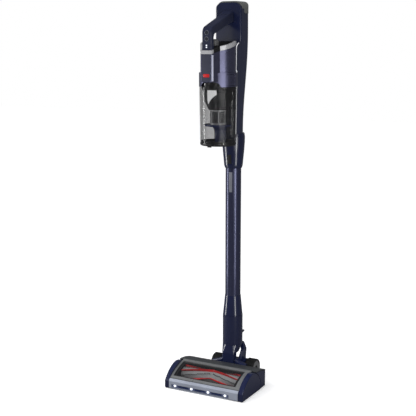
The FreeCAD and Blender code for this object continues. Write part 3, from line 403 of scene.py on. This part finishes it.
# One look for each material slot of the CAD nodes.
MATERIALS = {
    "navy_gloss": plastic("navy_gloss_skin", NAVY, 0.2, depth=0.000002, wear=0.04, Coat_Weight=0.5,
                          Coat_Roughness=0.06),
    "navy_metallic": flake_paint("navy_metallic_skin", (0.12, 0.122, 0.2), 0.3, 0.88, Coat_Weight=0.2,
                                 Coat_Roughness=0.15),
    "navy_matte": plastic("navy_matte_skin", (0.019, 0.023, 0.052), 0.38, depth=0.00002, wear=0.06),
    "wand_navy": drawn_metal("wand_navy_skin", (0.05, 0.055, 0.11), 0.24, metallic=0.55, Coat_Weight=0.15,
                             Coat_Roughness=0.2),
    "deck_gray": plastic("deck_gray_skin", (0.04, 0.043, 0.047), 0.4, grain=1900.0, depth=0.00004),
    "frame_silver": plastic("frame_silver_skin", (0.2, 0.205, 0.21), 0.3, depth=0.000008, Metallic=0.3),
    "ice_clear": plastic("ice_clear_skin", (0.36, 0.39, 0.47), 0.16, depth=0.000006, wear=0.3,
                         worn=(0.8, 0.85, 1.0), Coat_Weight=0.8, Coat_Roughness=0.05),
    "led_white": lamp_strip("led_strip_skin"),
    "window_clear": clear_plastic("window_clear_skin", (0.05, 0.05, 0.053), 0.06, 0.34),
    "cup_clear": clear_plastic("cup_clear_skin", (0.03, 0.03, 0.032), 0.24, 0.46),
    "black_plastic": plastic("black_plastic_skin", (0.01, 0.01, 0.011), 0.42, depth=0.00004, wear=0.06),
    "brush_gray": plastic("brush_gray_skin", (0.3, 0.305, 0.31), 0.5, depth=0.00004),
    "fin_red": rubber("fin_red_skin", (0.62, 0.006, 0.008), 0.4),
    "tyre": rubber("tyre_skin", (0.011, 0.011, 0.011), 0.6),
    "steel": drawn_metal("steel_skin", (0.5, 0.5, 0.51), 0.3),
    "belt": rubber("belt_skin", (0.012, 0.012, 0.012), 0.7),
    "battery_gray": plastic("battery_gray_skin", (0.17, 0.176, 0.168), 0.45, grain=1900.0, depth=0.00005),
    "cell_green": plastic("cell_green_skin", (0.03, 0.22, 0.13), 0.3),
    "filter_white": rubber("filter_white_skin", (0.7, 0.69, 0.65), 0.9),
    "filter_gray": plastic("filter_gray_skin", (0.14, 0.14, 0.142), 0.35),
    "disc_blue": plastic("disc_blue_skin", (0.012, 0.022, 0.11), 0.22, depth=0.000006, Coat_Weight=0.3),
    "mesh_steel": drawn_metal("mesh_steel_skin", (0.13, 0.13, 0.135), 0.35),
    "silver_band": plastic("silver_band_skin", (0.64, 0.64, 0.66), 0.26, depth=0.000008, Metallic=0.3),
    "panel": plastic("panel_skin", (0.042, 0.045, 0.075), 0.22, depth=0.000005, Coat_Weight=0.5,
                     Coat_Roughness=0.1),
    "button_gray": plastic("button_gray_skin", (0.018, 0.02, 0.032), 0.36),
    "board_green": plastic("board_green_skin", (0.01, 0.09, 0.04), 0.4),
    # Deflector: whitish plastic with a faint glow, which is painted light that brightens it.
    "deflector_gray": plastic("deflector_gray_glow_skin", (0.9, 0.9, 0.91), 0.34, Emission_Color=WHITE,
                              Emission_Strength=0.6),
    "grip_black": rubber("grip_black_skin", (0.03, 0.031, 0.033), 0.66),
}


# Looks of the pieces that are only in this scene.
BADGE_RED = plastic("badge_red_skin", (0.6, 0.012, 0.015), 0.25, depth=0.000004, Coat_Weight=0.4)
LIGHT_WHITE = glowing("status_light_skin", (0.85, 0.9, 1.0), 0.9)
RING_GRAY = plastic("button_ring_skin", (0.2, 0.21, 0.25), 0.32, depth=0.000005)
# Lavender trim on the nose: partly its own colour, partly a painted highlight on the nose's edge.
LAVENDER_TRIM_AND_HIGHLIGHT = plastic("trim_lavender_and_highlight_skin", (0.8, 0.82, 1.0), 0.26, depth=0.000005)
# Bright, glowing silver bead: a painted highlight along the cradle's front edge.
PAINTED_HIGHLIGHT_BEAD = plastic("bead_painted_highlight_skin", (0.92, 0.92, 0.95), 0.25, depth=0.000005, Emission_Color=WHITE,
                      Emission_Strength=0.5)
MARK_SILVER = plastic("mark_silver_skin", (0.3, 0.31, 0.36), 0.35, depth=0.000005, Metallic=0.4)
HUB_GRAY = plastic("hub_gray_skin", (0.2, 0.2, 0.205), 0.4)
FRAME_BRIGHT = plastic("basket_frame_skin", (0.75, 0.75, 0.76), 0.3, Metallic=0.2)
BRISTLE = rubber("bristle_skin", (0.02, 0.02, 0.022), 0.6)


def dress_nodes():
    """Gives each CAD node its look, by the name of its material slot."""
    for node in NODES.values():
        for held in node.material_slots:
            held.material = MATERIALS[held.material.name.split(".")[0]]


# ---- mesh helpers ----
def piece(name, verts, faces, body, slot, material=None, smooth=True):
    """A piece that rides on a body, from vertices in millimetres."""
    mesh = bpy.data.meshes.new(name)
    mesh.from_pydata([(x * MM, y * MM, z * MM) for x, y, z in verts], [], faces)
    mesh.validate()
    mesh.update()
    obj = bpy.data.objects.new(name, mesh)
    link(obj)
    mesh.materials.append(material or MATERIALS[slot])
    for polygon in mesh.polygons:
        polygon.use_smooth = smooth
    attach(obj, body)
    return obj


def turned(name, profile, place, body, slot, material=None, steps=96):
    """A ring swept round an axis from a closed loop of (radius, height) pairs."""
    def section(i):
        angle = 2 * math.pi * i / steps
        return [place(r * math.cos(angle), r * math.sin(angle), h) for r, h in profile]

    verts, faces = swept(steps, section, closed=True)
    return outward(piece(name, verts, faces, body, slot, material))


def outward(obj):
    """Turns every face of a closed mesh outwards and shades its sharp edges flat."""
    bm = bmesh.new()
    bm.from_mesh(obj.data)
    bmesh.ops.recalc_face_normals(bm, faces=bm.faces)
    for edge in bm.edges:
        if len(edge.link_faces) == 2:
            edge.smooth = edge.calc_face_angle(0.0) < SHARP_EDGE
    bm.to_mesh(obj.data)
    bm.free()
    return obj


def swept(stations, section, closed=False):
    """Vertices and faces of a tube: section(i) gives the loop of points at each station."""
    verts, faces = [], []
    count = len(section(0))
    for i in range(stations):
        verts += section(i)
    for i in range(stations if closed else stations - 1):
        j = (i + 1) % stations
        for k in range(count):
            m = (k + 1) % count
            faces.append((i * count + k, j * count + k, j * count + m, i * count + m))
    if not closed:
        faces.append(tuple(range(count))[::-1])
        faces.append(tuple((stations - 1) * count + k for k in range(count)))
    return verts, faces


def strand(path, radius, sides=10):
    """Vertices and faces of a round strand through a list of points."""
    path = [Vector(point) for point in path]
    steady = Vector((0.3, 0.9, 0.2))
    turns = [2 * math.pi * k / sides for k in range(sides)]

    def section(i):
        ahead = path[min(i + 1, len(path) - 1)] - path[max(i - 1, 0)]
        ahead.normalize()
        side = ahead.cross(steady).normalized()
        up = ahead.cross(side).normalized()
        return [tuple(path[i] + side * radius * math.cos(t) + up * radius * math.sin(t)) for t in turns]

    return swept(len(path), section)


def merge(parts):
    """Vertices and faces of several closed shapes as one mesh."""
    verts, faces = [], []
    for part_verts, part_faces in parts:
        base = len(verts)
        verts += part_verts
        faces += [tuple(base + k for k in face) for face in part_faces]
    return verts, faces


def pill(half_x, half_z, radius, depth, place, rim=0.35, steps=8):
    """A raised rounded plate with a bevelled rim; place(x, z, height) puts it on the object."""
    corners = ((1, 1, 0), (-1, 1, 90), (-1, -1, 180), (1, -1, 270))
    loop = []
    for side_x, side_z, start in corners:
        for k in range(steps + 1):
            angle = math.radians(start + 90 * k / steps)
            centre_x = side_x * (half_x - radius)
            centre_z = side_z * (half_z - radius)
            loop.append((centre_x, centre_z, math.cos(angle), math.sin(angle)))
    rings = ((0.0, 0.0), (0.0, depth - rim), (rim * 0.3, depth - rim * 0.3), (rim, depth))

    def section(i):
        inset, height = rings[i]
        reach = radius - inset
        return [place(x + reach * c, z + reach * s, height) for x, z, c, s in loop]

    return swept(len(rings), section)


# ---- hand unit trim ----
def column_front(z):
    """Y of the handle column's front face at a height: flat, then bending back."""
    if z < COLUMN_BEND_Z:
        return COLUMN_Y
    rise = z - COLUMN_BEND_Z
    return COLUMN_Y + COLUMN_BEND_R - math.sqrt(COLUMN_BEND_R ** 2 - rise ** 2)


def add_badge():
    """Plain red plate on the front panel."""
    half_width, half_height, corner, thickness, sunk = 9.5, 4.6, 2.2, 0.7, 0.1

    def on_panel(x, z, height):
        return (x, NOSE_Y + sunk - height, z + BADGE_Z)

    verts, faces = pill(half_width, half_height, corner, thickness, on_panel)
    outward(piece("front_badge", verts, faces, "hand_unit", "panel", BADGE_RED))


def add_status_lights():
    """Two small lit lenses on the handle column."""
    half_width, half_height, corner, thickness, proud = 1.9, 1.6, 0.5, 0.8, 0.2
    for name, middle in (("status_light_upper", STATUS_UPPER_Z), ("status_light_lower", STATUS_LOWER_Z)):
        def on_column(x, z, height, middle=middle):
            return (x, COLUMN_Y - proud - height, z + middle)

        verts, faces = pill(half_width, half_height, corner, thickness, on_column, rim=0.2, steps=3)
        outward(piece(name, verts, faces, "hand_unit", "led_white", LIGHT_WHITE))


def add_key_rings():
    """Gray ring round each of the two round keys, bent with the column's front."""
    loop = ((5.25, 0.6), (5.25, -0.22), (5.45, -0.42), (6.05, -0.42), (6.25, -0.2), (6.25, 0.6))
    for name, middle in (("power_ring", POWER_KEY_Z), ("mode_ring", MODE_KEY_Z)):
        def on_column(u, v, height, middle=middle):
            return (u, column_front(v + middle) + height, v + middle)

        turned(name, loop, on_column, "hand_unit", "battery_gray", RING_GRAY, steps=64)


def add_nose_trim():
    """Pale lavender strip let into each slanted side of the nose, 0.1 mm proud of it; its brightness is
    partly the strip's own colour and partly a painted highlight on the nose's edge.
    """
    stations = ((900.0, 0.05), (901.0, 0.35), (970.0, 0.35), (971.0, 0.05))
    proud, crown, inset_x, inset_y = -0.1, 0.12, 0.3, 1.4
    (ax, ay), (bx, by) = (16.65, -96.9), (18.15, -89.3)
    run = Vector((bx - ax, by - ay))
    inward = Vector((-run.y, run.x)).normalized()
    for side, name in ((1, "nose_trim_right"), (-1, "nose_trim_left")):
        def section(i, side=side):
            z, sunk = stations[i]
            loop = ((ax, ay, proud), (ax, ay, sunk), (ax + inset_x, ay + inset_y, sunk + crown),
                    (bx - inset_x, by - inset_y, sunk + crown), (bx, by, sunk), (bx, by, proud))
            return [(side * (x + inward.x * depth), y + inward.y * depth, z) for x, y, depth in loop]

        verts, faces = swept(len(stations), section)
        outward(piece(name, verts, faces, "hand_unit", "silver_band", LAVENDER_TRIM_AND_HIGHLIGHT))


def add_cradle_highlight_bead():
    """Glowing bead down the front edge of each cradle cheek, rounding over at the top: a painted
    highlight for the bright rim line beside the cup.
    """
    # Heights along a cheek, and the cheek's half width at each.
    foot, waist, shoulder = 744.6, 883.0, 965.0
    foot_half, waist_half, shoulder_half = 34.5, 37.5, 41.0
    pocket_low, pocket_high, pocket_step = 54.6, 50.4, 922.4
    bead_radius = 1.45
    edge = []
    for z in [746.0 + 8.0 * k for k in range(31)]:
        if z < waist:
            half = foot_half + (waist_half - foot_half) * ((z - foot) / (waist - foot))
        else:
            half = waist_half + (shoulder_half - waist_half) * ((z - waist) / (shoulder - waist))
        half = min(half, shoulder_half)
        pocket = pocket_low if z < pocket_step else pocket_high
        edge.append((half - 0.2, CUP_Y + math.sqrt(pocket ** 2 - half ** 2) + 0.4, z))
    top = [(40.9, 4.4 + 0.35 * k ** 1.9, 990.0 + 1.9 * k) for k in range(1, 8)]
    for side, name in ((1, "cradle_highlight_bead_right"), (-1, "cradle_highlight_bead_left")):
        verts, faces = strand([(side * x, y, z) for x, y, z in edge + top], bead_radius)
        outward(piece(name, verts, faces, "hand_unit", "silver_band", PAINTED_HIGHLIGHT_BEAD))


# ---- wand ----
def add_wand_mark():
    """Plain light strip on the wand below the collar."""
    stations = ((571.0, 0.05), (571.6, 0.3), (629.4, 0.3), (630.0, 0.05))
    start, spread, steps, sunk = -96.0, 24.0, 10, 0.1
    arc = [math.radians(start + spread * k / steps) for k in range(steps + 1)]

    def on_wand(radius, angle, z):
        return (radius * math.cos(angle), WAND_Y + radius * math.sin(angle), z)

    def section(i):
        z, proud = stations[i]
        outer = [on_wand(WAND_R + proud, angle, z) for angle in arc]
        inner = [on_wand(WAND_R - sunk, angle, z) for angle in reversed(arc)]
        return outer + inner

    verts, faces = swept(len(stations), section)
    outward(piece("wand_mark", verts, faces, "wand", "wand_navy", MARK_SILVER))


# ---- cup ----
def basket_hoop(z, thick, tall):
    """Flat hoop round the basket, as half its thickness and half its height."""
    loop = ((BASKET_R - thick, z - tall), (BASKET_R + thick, z - tall), (BASKET_R + thick, z + tall),
            (BASKET_R - thick, z + tall))

    def section(i):
        angle = 2 * math.pi * i / BASKET_SIDES
        return [(r * math.cos(angle), CUP_Y + r * math.sin(angle), h) for r, h in loop]

    return swept(BASKET_SIDES, section, closed=True)


def basket_upright(i, spread, thick):
    """Upright bar at side i of the basket, as half its spread in radians and half its thickness."""
    angle = 2 * math.pi * i / BASKET_SIDES
    ends = (BASKET_LOW + 2.0, BASKET_HIGH - 2.0)
    corners = []
    for t, w in ((-thick, -spread), (thick, -spread), (thick, spread), (-thick, spread)):
        reach = BASKET_R + t
        corners.append((reach * math.cos(angle + w), CUP_Y + reach * math.sin(angle + w)))
    return swept(2, lambda end: [(x, y, ends[end]) for x, y in corners])


def add_mesh_basket():
    """Woven wire basket and its bright frame, standing in for the plain tube."""
    bar_every = 16
    wires = [basket_hoop(BASKET_LOW + 3.4 + 1.95 * k, 0.2, 0.45) for k in range(18)]
    wires += [basket_upright(i, 0.02, 0.2) for i in range(BASKET_SIDES) if i % bar_every]
    verts, faces = merge(wires)
    basket = outward(piece("wire_basket", verts, faces, "cup", "mesh_steel", smooth=False))
    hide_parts("mesh_basket")
    bars = [basket_hoop(z, 0.62, 1.6) for z in (BASKET_LOW + 1.6, BASKET_HIGH - 1.6)]
    bars += [basket_upright(i, 0.05, 0.55) for i in range(0, BASKET_SIDES, bar_every)]
    verts, faces = merge(bars)
    outward(piece("basket_frame", verts, faces, "cup", "mesh_steel", FRAME_BRIGHT, smooth=False))


# ---- filter ----
def add_filter():
    """Pleated filter: a star-shaped block with its ends drawn in a little."""
    folds, ridge_r, valley_r = 30, 11.4, 8.6
    stations = ((962.0, 0.6), (963.0, 0.0), (988.0, 0.0), (989.0, 0.6))

    def section(i):
        z, drawn_in = stations[i]
        loop = []
        for k in range(folds * 2):
            angle = math.pi * k / folds
            r = valley_r if k % 2 else ridge_r - drawn_in
            loop.append((r * math.cos(angle), FILTER_Y + r * math.sin(angle), z))
        return loop

    verts, faces = swept(len(stations), section)
    pleats = outward(piece("pleated_filter", verts, faces, "filter", "filter_white", smooth=False))
    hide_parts("filter_pleats")


# ---- head ----
def add_hub_caps():
    """Stepped cap and small nut on the outside of each wheel."""
    for side, word in ((1, "right"), (-1, "left")):
        def on_wheel(u, v, out, side=side):
            return (side * out, AXLE_Y + u, AXLE_Z + v)

        body = f"{word}_wheel"
        turned(f"hub_cap_{word}", HUB_PROFILE, on_wheel, body, "battery_gray", HUB_GRAY)
        turned(f"hub_nut_{word}", NUT_PROFILE, on_wheel, body, "steel", steps=48)


def tuft(root, out, flat, tip):
    """One tuft: a six-sided stalk that widens towards its tip."""
    reaches, widths, sides = (20.2, 22.6, tip), (0.7, 0.95, 1.15), 6

    def section(i):
        loop = []
        for k in range(sides):
            turn = 2 * math.pi * k / sides
            along = Vector((widths[i] * math.sin(turn), 0, 0))
            loop.append(tuple(root + out * reaches[i] + flat * widths[i] * math.cos(turn) + along))
        return loop

    return swept(len(reaches), section)


def add_bristles():
    """Short black tufts on the roller, in chevron rows between the red fins."""
    rng = random.Random(7)
    tufts = []
    for row in range(TUFT_ROWS):
        for sign, start, end in TUFT_HALVES:
            for i in range(TUFTS_PER_HALF):
                share = (i + 0.5) / TUFTS_PER_HALF
                x = start + (end - start) * share
                inner_share = share if sign < 0 else 1 - share
                angle = math.radians(360 / TUFT_ROWS * row + TUFT_START + TUFT_TWIST * (1 - inner_share))
                lean = rng.uniform(-0.05, 0.05)
                out = Vector((0, math.cos(angle + lean), math.sin(angle + lean)))
                flat = Vector((0, -math.sin(angle), math.cos(angle)))
                root = Vector((x, BRUSH_Y, BRUSH_Z))
                tip = rng.uniform(24.6, 25.3)
                tufts.append(tuft(root, out, flat, tip))
    verts, faces = merge(tufts)
    outward(piece("bristle_rows", verts, faces, "brush", "black_plastic", BRISTLE, smooth=False))


def circle_through(a, b, c):
    """Centre and radius of the circle through three points."""
    (ax, az), (bx, bz), (cx, cz) = a, b, c
    aa, bb, cc = ax * ax + az * az, bx * bx + bz * bz, cx * cx + cz * cz
    twice_area = 2 * (ax * (bz - cz) + bx * (cz - az) + cx * (az - bz))
    x = (aa * (bz - cz) + bb * (cz - az) + cc * (az - bz)) / twice_area
    z = (aa * (cx - bx) + bb * (ax - cx) + cc * (bx - ax)) / twice_area
    return x, z, math.hypot(ax - x, az - z)


HEAD_TOP = circle_through((-113.0, 32.0), (-80.0, 50.3), (-34.0, 63.6))


def skin_height(y, drop):
    """Height at a drop below the head's arched top, at a place y over the brush."""
    centre_y, centre_z, radius = HEAD_TOP
    return centre_z + math.sqrt(radius * radius - (y - centre_y) ** 2) - drop


def add_window_gasket():
    """Black gasket strip under the window's edges, following the arch."""
    left, right, front, back = -105.6, 97.6, -104.6, -41.4
    wide_x, wide_y, upper, lower = 7.5, 4.5, 2.3, 2.85
    side_steps, cross_steps = 16, 40
    rows = [front + (back - front) * k / side_steps for k in range(side_steps + 1)]
    path = [(left, y) for y in rows]
    path += [(left + (right - left) * k / cross_steps, back) for k in range(1, cross_steps + 1)]
    path += [(right, y) for y in reversed(rows[:-1])]
    path += [(right + (left - right) * k / cross_steps, front) for k in range(1, cross_steps)]

    def section(i):
        x, y = path[i]
        inner_x = min(max(x, left + wide_x), right - wide_x)
        inner_y = min(max(y, front + wide_y), back - wide_y)
        loop = ((x, y, upper), (inner_x, inner_y, upper), (inner_x, inner_y, lower), (x, y, lower))
        return [(px, py, skin_height(py, drop)) for px, py, drop in loop]

    verts, faces = swept(len(path), section, closed=True)
    outward(piece("window_gasket", verts, faces, "head", "black_plastic", smooth=False))


# ---- scene ----
make_camera()
make_studio()
make_floor()
dress_nodes()
add_badge()
add_status_lights()
add_key_rings()
add_nose_trim()
add_cradle_highlight_bead()
add_wand_mark()
add_mesh_basket()
add_filter()
add_hub_caps()
add_bristles()
add_window_gasket()
